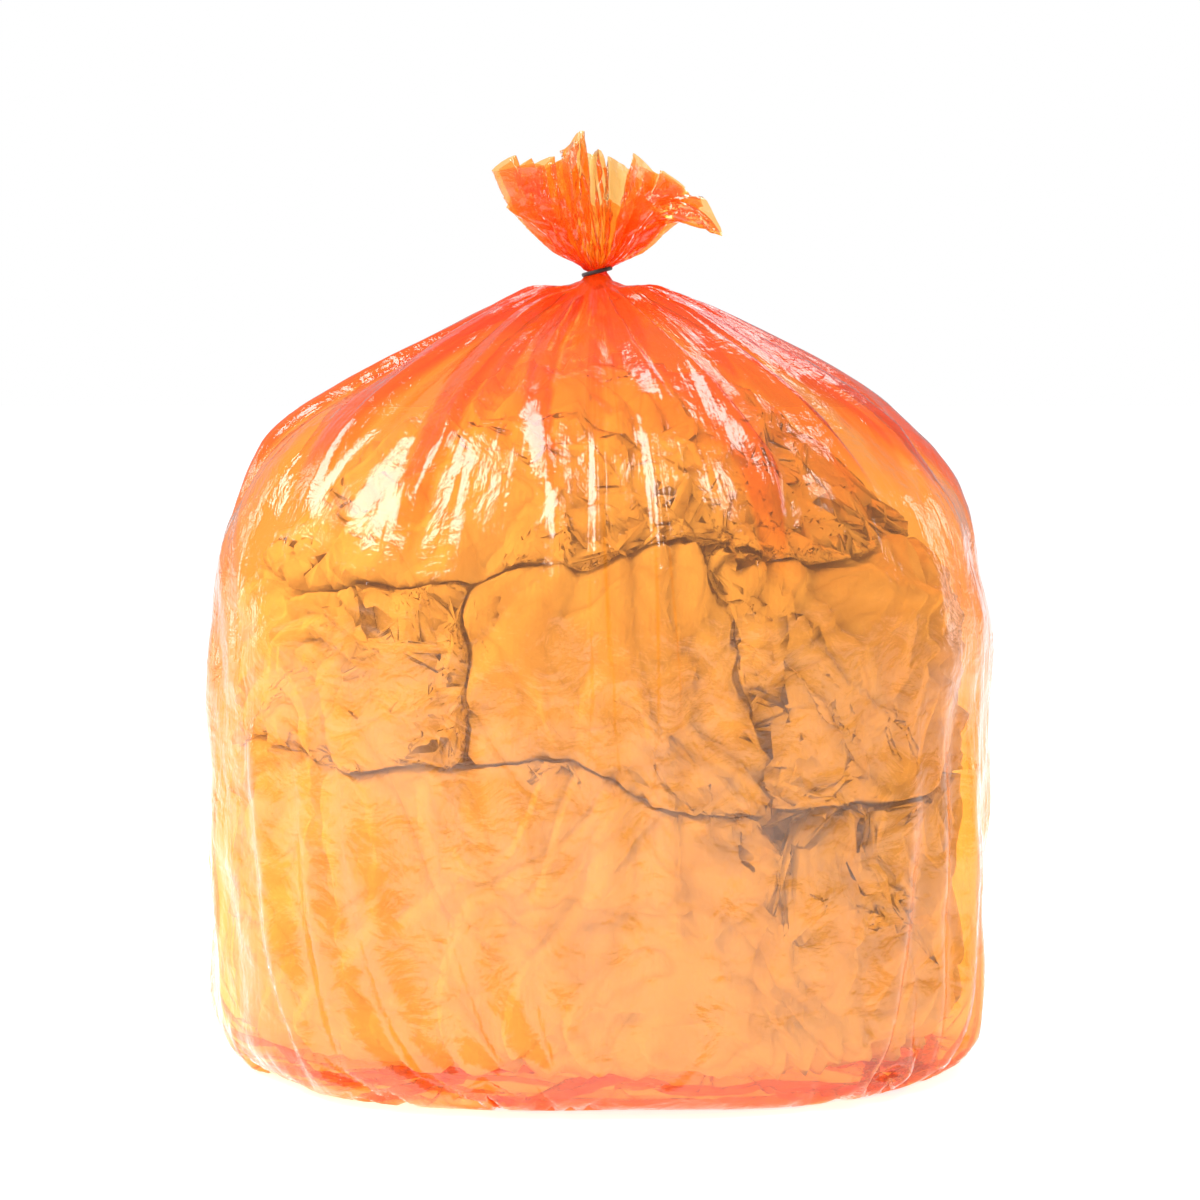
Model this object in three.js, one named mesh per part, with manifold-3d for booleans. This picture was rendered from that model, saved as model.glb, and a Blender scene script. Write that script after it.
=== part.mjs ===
// A can liner in use: a film sack stuffed with loose cloth, gathered at the neck and closed by a tie,
// with the spare film above the tie standing up as an open frill.
// Millimetres, +Z up. The origin is the middle of the base, on the floor, and +Y points to the back.
import * as THREE from "three";
import { mergeVertices } from "three/addons/utils/BufferGeometryUtils.js";
import Module from "manifold-3d";

const wasm = await Module();
wasm.setup();

// The stuffed body
const BODY_WIDTH = 540;
const BODY_DEPTH = 432;
const BASE_CORNER = 34; // radius between the flat base and the wall
const SHOULDER_HEIGHT = 238; // where the wall begins to close in
const SHOULDER_FULLNESS = 3.5; // power of the shoulder's curve: higher is squarer
const SECTION_SQUARENESS = 2.5; // power of the body's oval section: 2 is an ellipse

// The neck and the tie
const TIE_HEIGHT = 533;
const NECK_RADIUS = 8; // outside of the gathered film
const NECK_LENGTH = 12; // the straight stretch that the tie grips
const CHANNEL_RADIUS = 2; // the crooked way left through the gathers
const TIE_THICKNESS = 2.2;
const TIE_BAND = 2.8; // how tall the tie is
const TIE_TILT = THREE.MathUtils.degToRad(14);

// The frill above the tie
const FRILL_WIDTH = 122;
const FRILL_DEPTH = 104;
const RIM_FRONT = 72; // from the tie to the middle of the rim's waves, at the front
const RIM_BACK = 95; // the same at the back, where the rim stands taller
const PETALS = 5; // waves of the rim, one of them straight at the back
const PETAL_RISE = 12; // half of each wave's height

// The film, and the long pleats that run down from the neck
const FILM_WALL = 1.5;
const PLEATS = 14;
const PLEAT_DEPTH = 5;

// The cloth inside
const STUFFING_DROP = 46; // from the tie down to the top of the stuffing
const DOME_REACH = 200; // from the middle of the stuffing's domed top to where its fall is measured
const DOME_FALL = 100; // how far the domed top falls over that reach
const WALL_GAP = 3; // between cloth and film at the wall
const SEAT_GAP = 0.3; // between pieces that rest on each other
const LOWER_CUT = {
  at: 207,
  tilt: THREE.MathUtils.degToRad(5),
  waves: [
    { height: 11, length: 360, heading: THREE.MathUtils.degToRad(20), phase: 0.6 },
    { height: 7, length: 190, heading: THREE.MathUtils.degToRad(-35), phase: 2.1 },
  ],
};
const UPPER_CUT = {
  at: 352,
  tilt: THREE.MathUtils.degToRad(-4),
  waves: [
    { height: 12, length: 400, heading: THREE.MathUtils.degToRad(-15), phase: 3.6 },
    { height: 6, length: 170, heading: THREE.MathUtils.degToRad(40), phase: 0.9 },
  ],
};
const LEFT_CUT = {
  at: -92,
  tilt: THREE.MathUtils.degToRad(9),
  waves: [
    { height: 10, length: 300, heading: THREE.MathUtils.degToRad(25), phase: 1.2 },
    { height: 6, length: 140, heading: THREE.MathUtils.degToRad(-30), phase: 4 },
  ],
};
const RIGHT_CUT = {
  at: 98,
  tilt: THREE.MathUtils.degToRad(-8),
  waves: [
    { height: 10, length: 270, heading: THREE.MathUtils.degToRad(-20), phase: 5.2 },
    { height: 6, length: 150, heading: THREE.MathUtils.degToRad(35), phase: 2.7 },
  ],
};

// Fineness of the faceted surfaces
const COLUMNS_PER_PLEAT = 4;
const CORNER_ROWS = 4;
const WALL_ROWS = 4;
const SHOULDER_ROWS = 11;
const FRILL_ROWS = 7;
const STUFFING_COLUMNS = 44;
const STUFFING_ROWS = 11;
const DOME_RINGS = 9;
const CUT_CELLS = 18;
const CUT_REACH = 1.3; // how far a cut's block reaches, as a share of the body's size

const NECK_FOOT = TIE_HEIGHT - NECK_LENGTH / 2;
const NECK_HEAD = TIE_HEIGHT + NECK_LENGTH / 2;
const FULL_TURN = 2 * Math.PI;
const QUARTER_TURN = Math.PI / 2;
const { lerp, smoothstep } = THREE.MathUtils;

// How far a superellipse with those half axes reaches from its middle at an angle.
function ovalReach(angle, halfWidth, halfDepth, power) {
  const across = Math.abs(Math.cos(angle) / halfWidth) ** power;
  const along = Math.abs(Math.sin(angle) / halfDepth) ** power;
  return (across + along) ** (-1 / power);
}

// How far out the film's shoulder is at a height: 1 at the wall and 0 at the neck.
function shoulderSpread(z) {
  return 1 - shoulderRise(z) ** SHOULDER_FULLNESS;
}

// Where a height lies on the shoulder: 0 at its foot and 1 at the neck.
function shoulderRise(z) {
  return (z - SHOULDER_HEIGHT) / (NECK_FOOT - SHOULDER_HEIGHT);
}

// The section's squareness, which the shoulder loses on its way up to the round neck.
function sectionPower(spread) {
  return lerp(2, SECTION_SQUARENESS, smoothstep(spread, 0, 1));
}

// How deep the film's pleats are at a height on the shoulder.
function pleatDepth(z) {
  return PLEAT_DEPTH * smoothstep(shoulderRise(z), 0, 0.8) * smoothstep(shoulderSpread(z), 0, 0.25);
}

// A closed surface from rows of points, each a function of the angle. The first and last rows are single points.
function closedSurface(rows, columns) {
  const positions = [];
  const indices = [];
  for (const row of rows) {
    for (let column = 0; column < columns; column++) {
      positions.push(...row((FULL_TURN * column) / columns).toArray());
    }
  }
  for (let row = 0; row + 1 < rows.length; row++) {
    for (let column = 0; column < columns; column++) {
      const next = (column + 1) % columns;
      const [a, b] = [row * columns + column, row * columns + next];
      const [c, d] = [a + columns, b + columns];
      if (row > 0) indices.push(a, b, d);
      if (row + 2 < rows.length) indices.push(a, d, c);
    }
  }
  const geometry = new THREE.BufferGeometry();
  geometry.setAttribute("position", new THREE.Float32BufferAttribute(positions, 3));
  geometry.setIndex(indices);
  return mergeVertices(geometry);
}

// The body's outline as rows of { halfWidth, halfDepth, z }, from the middle of the base to the neck.
function bodyRows(width, depth, corner, floor) {
  const rows = [{ halfWidth: 0, halfDepth: 0, z: floor }];
  for (let step = 0; step <= CORNER_ROWS; step++) {
    const turn = (QUARTER_TURN * step) / CORNER_ROWS;
    rows.push({
      halfWidth: width / 2 - corner + corner * Math.sin(turn),
      halfDepth: depth / 2 - corner + corner * Math.sin(turn),
      z: floor + corner - corner * Math.cos(turn),
    });
  }
  for (let step = 1; step <= WALL_ROWS; step++) {
    rows.push({
      halfWidth: width / 2,
      halfDepth: depth / 2,
      z: lerp(floor + corner, SHOULDER_HEIGHT, step / WALL_ROWS),
    });
  }
  return rows;
}

// The outside of the film as functions of the angle, from the base to the rim of the frill, with the wall at each.
function filmRows() {
  const rows = bodyRows(BODY_WIDTH, BODY_DEPTH, BASE_CORNER, 0).map((row) => ({
    ...row,
    power: SECTION_SQUARENESS,
    pleat: 0,
    wall: FILM_WALL,
  }));
  for (let step = 1; step <= SHOULDER_ROWS; step++) {
    // Rows crowd towards the neck, where the slope is shallow.
    const rise = Math.sin((QUARTER_TURN * step) / SHOULDER_ROWS);
    const z = lerp(SHOULDER_HEIGHT, NECK_FOOT, rise);
    const spread = shoulderSpread(z);
    rows.push({
      halfWidth: lerp(NECK_RADIUS, BODY_WIDTH / 2, spread),
      halfDepth: lerp(NECK_RADIUS, BODY_DEPTH / 2, spread),
      z,
      power: sectionPower(spread),
      pleat: pleatDepth(z),
      wall: lerp(NECK_RADIUS - CHANNEL_RADIUS, FILM_WALL, smoothstep(spread, 0, 0.05)),
    });
  }
  const body = rows.map((row) => ({
    wall: row.wall,
    at: (angle) => {
      const ridge = row.pleat * Math.cos(PLEATS * angle);
      const reach = row.halfWidth
        ? ovalReach(angle, row.halfWidth, row.halfDepth, row.power) + ridge
        : 0;
      return new THREE.Vector3(reach * Math.cos(angle), reach * Math.sin(angle), row.z);
    },
  }));
  const frill = [];
  for (let step = 0; step <= FRILL_ROWS; step++) {
    const up = step / FRILL_ROWS;
    const flare = Math.sin(QUARTER_TURN * up) ** 1.3;
    frill.push({
      wall: lerp(NECK_RADIUS - CHANNEL_RADIUS, FILM_WALL, smoothstep(up, 0, 0.3)),
      at: (angle) => {
        const reach = lerp(
          NECK_RADIUS,
          ovalReach(angle, FRILL_WIDTH / 2, FRILL_DEPTH / 2, 2),
          flare,
        );
        const petal = PETAL_RISE * Math.cos(PETALS * (angle - QUARTER_TURN));
        const rim = lerp(RIM_FRONT, RIM_BACK, (1 + Math.sin(angle)) / 2) + petal;
        const z = lerp(NECK_HEAD, TIE_HEIGHT + rim, up);
        return new THREE.Vector3(reach * Math.cos(angle), reach * Math.sin(angle), z);
      },
    });
  }
  return [...body, ...frill];
}

// The inside of a row: its outside moved in along the surface's normal by the row's wall.
function insideOf(rows, index) {
  const STEP = 0.01; // radians, for the normal
  const row = rows[index];
  return (angle) => {
    const outside = row.at(angle);
    if (index === 0) return outside.add(new THREE.Vector3(0, 0, row.wall));
    const round = row.at(angle + STEP).sub(row.at(angle - STEP));
    const before = rows[index - 1].at(angle);
    const after = rows[Math.min(index + 1, rows.length - 1)].at(angle);
    const normal = round.cross(after.sub(before)).normalize();
    return outside.sub(normal.multiplyScalar(row.wall));
  };
}

// The whole film: up the outside, over the frill's rim, and down the inside through the neck.
function filmGeometry() {
  const rows = filmRows();
  const outside = rows.map((row) => row.at);
  const inside = rows.map((_, index) => insideOf(rows, index)).reverse();
  return closedSurface([...outside, ...inside], COLUMNS_PER_PLEAT * PLEATS);
}

// A band round the neck, closed on itself, with rounded edges.
function tieGeometry() {
  const inner = NECK_RADIUS / Math.cos(TIE_TILT) + SEAT_GAP;
  const section = new THREE.Path();
  const edge = TIE_THICKNESS / 2;
  const straight = (TIE_BAND - TIE_THICKNESS) / 2;
  section.absarc(inner + edge, straight, edge, 0, Math.PI, false);
  section.absarc(inner + edge, -straight, edge, Math.PI, FULL_TURN, false);
  section.closePath();
  const geometry = new THREE.LatheGeometry(section.getPoints(5), 40);
  geometry.rotateX(QUARTER_TURN);
  geometry.rotateY(-TIE_TILT);
  return geometry;
}

// The stuffing as one lump, before its top is domed: it follows the film's inside, less the gaps.
function stuffingGeometry() {
  const inset = FILM_WALL + WALL_GAP;
  const width = BODY_WIDTH - 2 * inset;
  const depth = BODY_DEPTH - 2 * inset;
  const rows = bodyRows(width, depth, BASE_CORNER - inset, FILM_WALL + SEAT_GAP).map((row) => ({
    ...row,
    power: SECTION_SQUARENESS,
  }));
  const top = TIE_HEIGHT - STUFFING_DROP;
  for (let step = 1; step <= STUFFING_ROWS; step++) {
    const z = lerp(SHOULDER_HEIGHT, top, Math.sin((QUARTER_TURN * step) / STUFFING_ROWS));
    const spread = shoulderSpread(z);
    rows.push({
      halfWidth: lerp(NECK_RADIUS, BODY_WIDTH / 2, spread) - inset - pleatDepth(z),
      halfDepth: lerp(NECK_RADIUS, BODY_DEPTH / 2, spread) - inset - pleatDepth(z),
      z,
      power: sectionPower(spread),
    });
  }
  rows.push({ halfWidth: 0, halfDepth: 0, z: top, power: 2 });
  return closedSurface(
    rows.map((row) => (angle) => {
      const reach = row.halfWidth
        ? ovalReach(angle, row.halfWidth, row.halfDepth, row.power)
        : 0;
      return new THREE.Vector3(reach * Math.cos(angle), reach * Math.sin(angle), row.z);
    }),
    STUFFING_COLUMNS,
  );
}

// Everything under the stuffing's dome, a bowl turned upside down that runs past the stuffing's sides.
function domeGeometry() {
  const radius = 0.6 * BODY_WIDTH;
  const fall = (reach) => DOME_FALL * (reach / DOME_REACH) ** 2;
  const foot = -fall(radius) - TIE_HEIGHT;
  const profile = [new THREE.Vector2(0, foot), new THREE.Vector2(radius, foot)];
  for (let step = DOME_RINGS; step >= 0; step--) {
    const reach = (radius * step) / DOME_RINGS;
    profile.push(new THREE.Vector2(reach, -fall(reach)));
  }
  const geometry = new THREE.LatheGeometry(profile, STUFFING_COLUMNS);
  geometry.rotateX(QUARTER_TURN);
  geometry.translate(0, 0, TIE_HEIGHT - STUFFING_DROP);
  return geometry;
}

function solidFrom(geometry) {
  const bare = geometry.clone();
  bare.deleteAttribute("normal");
  bare.deleteAttribute("uv");
  const merged = mergeVertices(bare);
  return new wasm.Manifold(
    new wasm.Mesh({
      numProp: 3,
      vertProperties: new Float32Array(merged.attributes.position.array),
      triVerts: new Uint32Array(merged.index.array),
    }),
  );
}

function geometryFrom(solid) {
  const mesh = solid.getMesh();
  const geometry = new THREE.BufferGeometry();
  geometry.setAttribute("position", new THREE.BufferAttribute(mesh.vertProperties, 3));
  geometry.setIndex(new THREE.BufferAttribute(mesh.triVerts, 1));
  return geometry;
}

// How far a cut's wavy face dips under its plane, at a place along it and a depth across it.
function ripple(cut, along, across) {
  return cut.waves.reduce((dip, wave) => {
    const run = along * Math.cos(wave.heading) + across * Math.sin(wave.heading);
    return dip + wave.height * Math.sin((FULL_TURN * run) / wave.length + wave.phase);
  }, 0);
}

// A block that fills everything below a level cut, which falls to the right by its tilt.
function below(cut, gap) {
  const reach = CUT_REACH * Math.max(BODY_WIDTH, TIE_HEIGHT);
  const block = new THREE.BoxGeometry(reach, reach, reach, CUT_CELLS, CUT_CELLS, 1);
  const corners = block.attributes.position;
  for (let corner = 0; corner < corners.count; corner++) {
    const [x, y] = [corners.getX(corner), corners.getY(corner)];
    const face = cut.at + gap - x * Math.tan(cut.tilt) - ripple(cut, x, y);
    corners.setZ(corner, corners.getZ(corner) > 0 ? face : -reach);
  }
  return solidFrom(block);
}

// A block that fills everything to the left of an upright cut, which leans by its tilt.
function leftOf(cut, gap) {
  const reach = CUT_REACH * Math.max(BODY_WIDTH, TIE_HEIGHT);
  const block = new THREE.BoxGeometry(reach, reach, reach, 1, CUT_CELLS, CUT_CELLS);
  const corners = block.attributes.position;
  const middle = (LOWER_CUT.at + UPPER_CUT.at) / 2;
  for (let corner = 0; corner < corners.count; corner++) {
    const [y, rise] = [corners.getY(corner), corners.getZ(corner)];
    const face = cut.at + gap + rise * Math.tan(cut.tilt) - ripple(cut, rise, y);
    corners.setX(corner, corners.getX(corner) > 0 ? face : -reach);
    corners.setZ(corner, rise + middle);
  }
  return solidFrom(block);
}

// The five wads of cloth, which rest on each other across the cuts.
function clothWads() {
  const stuffing = solidFrom(stuffingGeometry()).intersect(solidFrom(domeGeometry()));
  const aboveLower = stuffing.subtract(below(LOWER_CUT, SEAT_GAP));
  const band = aboveLower.intersect(below(UPPER_CUT, 0));
  const rightOfLeft = band.subtract(leftOf(LEFT_CUT, SEAT_GAP));
  return {
    cloth_lower: stuffing.intersect(below(LOWER_CUT, 0)),
    cloth_left: band.intersect(leftOf(LEFT_CUT, 0)),
    cloth_middle: rightOfLeft.intersect(leftOf(RIGHT_CUT, 0)),
    cloth_right: rightOfLeft.subtract(leftOf(RIGHT_CUT, SEAT_GAP)),
    cloth_upper: aboveLower.subtract(below(UPPER_CUT, SEAT_GAP)),
  };
}

function namedMesh(name, geometry, material) {
  const mesh = new THREE.Mesh(geometry, material);
  mesh.name = name;
  return mesh;
}

const film = new THREE.MeshStandardMaterial({
  color: 0xff7a1e,
  roughness: 0.18,
  metalness: 0,
  transparent: true,
  opacity: 0.6,
});
const cloth = new THREE.MeshStandardMaterial({ color: 0xf4ede2, roughness: 0.95, metalness: 0 });
const blackBand = new THREE.MeshStandardMaterial({ color: 0x1a1413, roughness: 0.5, metalness: 0 });

const liner = new THREE.Group();
liner.add(namedMesh("bag_film", filmGeometry(), film));
const tie = namedMesh("neck_tie", tieGeometry(), blackBand);
tie.position.z = TIE_HEIGHT;
liner.add(tie);
for (const [name, solid] of Object.entries(clothWads())) {
  liner.add(namedMesh(name, geometryFrom(solid), cloth));
}

export default liner;
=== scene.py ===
"""A can liner in use: a film sack stuffed with crumpled cloth, tied at the neck under its open frill."""
import logging
import math
from collections.abc import Callable
from dataclasses import dataclass
from enum import Enum

import bpy
import numpy as np
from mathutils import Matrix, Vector


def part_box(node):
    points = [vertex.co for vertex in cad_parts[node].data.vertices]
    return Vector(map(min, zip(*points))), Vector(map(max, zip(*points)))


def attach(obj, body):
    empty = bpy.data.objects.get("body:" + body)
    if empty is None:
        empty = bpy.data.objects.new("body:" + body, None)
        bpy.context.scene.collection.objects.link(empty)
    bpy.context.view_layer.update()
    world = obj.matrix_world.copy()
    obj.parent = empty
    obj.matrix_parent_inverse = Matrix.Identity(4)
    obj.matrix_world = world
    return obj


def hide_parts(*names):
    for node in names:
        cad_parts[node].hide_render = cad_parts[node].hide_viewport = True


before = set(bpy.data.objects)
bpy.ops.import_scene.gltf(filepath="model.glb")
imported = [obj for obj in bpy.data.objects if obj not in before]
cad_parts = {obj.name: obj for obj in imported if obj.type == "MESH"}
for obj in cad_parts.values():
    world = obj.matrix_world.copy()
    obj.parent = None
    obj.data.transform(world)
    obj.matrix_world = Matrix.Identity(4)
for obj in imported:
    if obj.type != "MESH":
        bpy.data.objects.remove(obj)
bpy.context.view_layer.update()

FULL_TURN = 2 * math.pi
LOG = logging.getLogger("can_liner")


def smooth_rise(value: np.ndarray | float, low: float, high: float) -> np.ndarray:
    """Rises smoothly from 0 at low to 1 at high."""
    share = np.clip((np.asarray(value, dtype=float) - low) / (high - low), 0, 1)
    return share * share * (3 - 2 * share)


class WaveField:
    """A random field that is the same on every run: a sum of plane waves, smooth or creased."""

    def __init__(
        self, seed: int, longest: float, shortest: float, count: int = 28, creased: bool = False
    ) -> None:
        """Draws the waves.

        Args:
            seed: Where the random draws start.
            longest: The longest wave, in metres.
            shortest: The shortest wave, in metres.
            count: How many waves are summed.
            creased: Whether the waves are straight-sided, as in crumpled sheet.
        """
        rng = np.random.default_rng(seed)
        facing = rng.normal(size=(count, 3))
        facing /= np.linalg.norm(facing, axis=1, keepdims=True)
        lengths = longest * (shortest / longest) ** rng.random(count)
        self.waves = facing * (FULL_TURN / lengths)[:, None]
        self.phases = rng.random(count) * FULL_TURN
        self.weights = lengths / lengths.sum()
        self.creased = creased
        self.gain = 2.2 if count > 12 else 1.6

    def at(self, points: np.ndarray) -> np.ndarray:
        """Gives the field at points.

        Args:
            points: Three planes, x, y and z, of any shape.

        Returns:
            Values from about -1 to 1, in the planes' shape.
        """
        total = np.zeros(points.shape[1:])
        for wave, phase, weight in zip(self.waves, self.phases, self.weights):
            height = np.sin(np.tensordot(wave, points, axes=1) + phase)
            total += weight * (np.arcsin(height) * (2 / math.pi) if self.creased else height)
        return total * self.gain


class FoldField:
    """Long overlapping folds: terraces along the level lines of a smooth field."""

    def __init__(self, seed: int, longest: float, shortest: float, folds: float, edge: float = 0.14) -> None:
        """Sets out the folds.

        Args:
            seed: Where the random draws start.
            longest: The longest wave of the field that they follow, in metres.
            shortest: The shortest, in metres.
            folds: How many folds there are from the field's middle to its peak.
            edge: The share of a fold's width that its steep side takes.
        """
        self.field = WaveField(seed, longest, shortest, 14)
        self.folds = folds
        self.edge = edge

    def at(self, points: np.ndarray) -> np.ndarray:
        """Gives the folds' height at points, from 0 in a crease to 1 on a crest.

        Args:
            points: Three planes of coordinates.

        Returns:
            Heights, in the planes' shape.
        """
        level = self.folds * self.field.at(points)
        share = level - np.floor(level)
        slope = share / (1 - self.edge)
        steep = (1 - share) / self.edge
        return np.minimum(slope, steep) ** 0.8


def grid_normals(points: np.ndarray) -> np.ndarray:
    """Works out the normals of a tube's grid.

    Args:
        points: Three planes of rows by columns.

    Returns:
        Unit normals, in three planes, facing out.
    """
    across = np.roll(points, -1, axis=2) - np.roll(points, 1, axis=2)
    normal = np.cross(across, np.gradient(points, axis=1), axis=0)
    return normal / (np.linalg.norm(normal, axis=0) + 1e-12)


@dataclass(frozen=True)
class SackSizes:
    """The sack's driving sizes, in metres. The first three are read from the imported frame."""

    width: float
    depth: float
    tie_height: float
    neck_radius: float = 0.008
    base_corner: float = 0.034
    shoulder_height: float = 0.238
    shoulder_fullness: float = 3.5
    squareness: float = 2.5
    tube_round: float = 1.676
    tube_length: float = 0.991
    middle_height: float = 0.24

    @classmethod
    def from_frame(cls) -> "SackSizes":
        """Reads the sizes that the frame gives."""
        film_low, film_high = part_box("bag_film")
        tie_low, tie_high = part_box("neck_tie")
        return cls(
            width=film_high.x - film_low.x,
            depth=film_high.y - film_low.y,
            tie_height=(tie_low.z + tie_high.z) / 2,
        )

    def level(self, points: np.ndarray, inset: float) -> np.ndarray:
        """How far out points are, against the sack's smooth outline less an inset.

        Args:
            points: Three planes of coordinates.
            inset: How far the outline is moved in.

        Returns:
            Below 1 inside the outline, and above 1 outside it.
        """
        x, y, z = points
        corner = self.base_corner
        drop = np.clip(corner + inset - z, 0, corner)
        rounding = corner - np.sqrt(corner**2 - drop**2)
        rise = np.clip((z - self.shoulder_height) / (self.tie_height - 0.006 - self.shoulder_height), 0, 1)
        spread = 1 - rise**self.shoulder_fullness
        half_width = self.neck_radius + (self.width / 2 - self.neck_radius) * spread - rounding - inset
        half_depth = self.neck_radius + (self.depth / 2 - self.neck_radius) * spread - rounding - inset
        power = 2 + (self.squareness - 2) * smooth_rise(spread, 0, 1)
        across = np.abs(x / np.maximum(half_width, 1e-4)) ** power
        along = np.abs(y / np.maximum(half_depth, 1e-4)) ** power
        level = (across + along) ** (1 / power)
        level = np.where(z > self.tie_height - 0.006, 2.0, level)
        return np.where(z < inset, 2.0, level)

    def wall_turns(self, count: int) -> np.ndarray:
        """Works out turns about the upright axis that space points evenly round the wall.

        Args:
            count: How many points there are.

        Returns:
            The turns, in radians.
        """
        fine = np.linspace(0, FULL_TURN, 4001)
        across = np.abs(np.cos(fine) * 2 / self.width) ** self.squareness
        along = np.abs(np.sin(fine) * 2 / self.depth) ** self.squareness
        reach = (across + along) ** (-1 / self.squareness)
        x, y = reach * np.cos(fine), reach * np.sin(fine)
        run = np.concatenate([[0], np.cumsum(np.hypot(np.diff(x), np.diff(y)))])
        return np.interp(np.arange(count) / count * run[-1], run, fine)


class ReachTable:
    """How far a closed surface lies from a middle point in every direction."""

    RISES = 257
    TURNS = 512

    def __init__(self, middle: tuple[float, float, float]) -> None:
        """Sets out the directions, from straight down to straight up and once round.

        Args:
            middle: The point that the directions start from.
        """
        self.middle = np.array(middle, dtype=float)
        rises = np.linspace(-math.pi / 2, math.pi / 2, self.RISES)[:, None]
        turns = (np.arange(self.TURNS) / self.TURNS * FULL_TURN - math.pi)[None, :]
        self.directions = np.stack(
            [np.cos(rises) * np.cos(turns), np.cos(rises) * np.sin(turns), np.sin(rises) + 0 * turns]
        )
        self.reach = np.ones((self.RISES, self.TURNS), dtype=np.float32)

    def surface(self) -> np.ndarray:
        """The surface's points, in three planes."""
        return self.middle[:, None, None] + self.directions * self.reach

    def fill(self, inside: Callable[[np.ndarray], np.ndarray]) -> None:
        """Finds the surface by halving.

        Args:
            inside: Says which of some points, in three planes, lie inside the surface.
        """
        near = np.zeros((self.RISES, self.TURNS))
        far = np.full((self.RISES, self.TURNS), 0.6)
        for _ in range(22):
            half = (near + far) / 2
            within = inside(self.middle[:, None, None] + self.directions * half)
            near, far = np.where(within, half, near), np.where(within, far, half)
        self.reach = near.astype(np.float32)

    def holds(self, points: np.ndarray, clearance: float) -> np.ndarray:
        """Says which points lie inside the surface by a clearance.

        Args:
            points: Three planes of coordinates.
            clearance: The clearance, along rays from the middle.

        Returns:
            True inside.
        """
        offset = points - self.middle[:, None, None]
        distance = np.sqrt((offset**2).sum(axis=0)) + 1e-9
        return distance < self.look_up(offset, distance) - clearance

    def look_up(self, offset: np.ndarray, distance: np.ndarray) -> np.ndarray:
        """The surface's distance from the middle in some directions.

        Args:
            offset: Three planes of offsets from the middle.
            distance: Their lengths.

        Returns:
            The reach towards each offset.
        """
        turn = (np.arctan2(offset[1], offset[0]) + math.pi) * (self.TURNS / FULL_TURN)
        rise = (np.arcsin(np.clip(offset[2] / distance, -1, 1)) / math.pi + 0.5) * (self.RISES - 1)
        row = np.clip(rise.astype(np.int32), 0, self.RISES - 2)
        column = turn.astype(np.int32)
        up, over = (rise - row).astype(np.float32), (turn - column).astype(np.float32)
        column %= self.TURNS
        after = (column + 1) % self.TURNS
        flat = self.reach.ravel()
        low, high = row * self.TURNS, (row + 1) * self.TURNS
        lower = flat[low + column] * (1 - over) + flat[low + after] * over
        upper = flat[high + column] * (1 - over) + flat[high + after] * over
        return lower * (1 - up) + upper * up

    def hold(self, points: np.ndarray, inner: float, outer: np.ndarray | float) -> np.ndarray:
        """Moves points along their own rays into a layer about the surface.

        Args:
            points: Three planes of coordinates, changed in place.
            inner: The layer's inner side, as a distance from the surface, out being positive.
            outer: Its outer side, in the same way.

        Returns:
            1 where a point lies on the layer's inner side, and 0 elsewhere.
        """
        middle = self.middle.astype(points.dtype)[:, None, None]
        offset = points - middle
        distance = np.sqrt(np.einsum("kij,kij->ij", offset, offset)) + 1e-9
        reach = self.look_up(offset, distance)
        kept = np.clip(distance, reach + inner, reach + outer)
        points[:] = middle + offset * (kept / distance)
        return (kept < reach + inner + 0.0006).astype(points.dtype)


@dataclass
class Lengths:
    """The natural lengths of a tube's threads, as planes over its grid."""

    round: np.ndarray
    along: np.ndarray
    rising: np.ndarray
    falling: np.ndarray

    @classmethod
    def from_grid(cls, around: np.ndarray, along: np.ndarray, slant: np.ndarray | float = 0.0) -> "Lengths":
        """Works out the diagonals from the two sides.

        Args:
            around: Lengths between neighbours round the tube, rows by columns.
            along: Lengths between neighbours along the tube, one row fewer.
            slant: How far each cell leans, from -1 to 1, as the cosine between its sides.

        Returns:
            All the lengths.
        """
        side = (around[:-1] + around[1:]) / 2
        next_along = (along + np.roll(along, -1, axis=1)) / 2
        square = side**2 + next_along**2
        lean = 2 * side * next_along * slant
        kind = np.float32
        return cls(
            around.astype(kind),
            along.astype(kind),
            np.sqrt(square + lean).astype(kind),
            np.sqrt(square - lean).astype(kind),
        )


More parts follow.
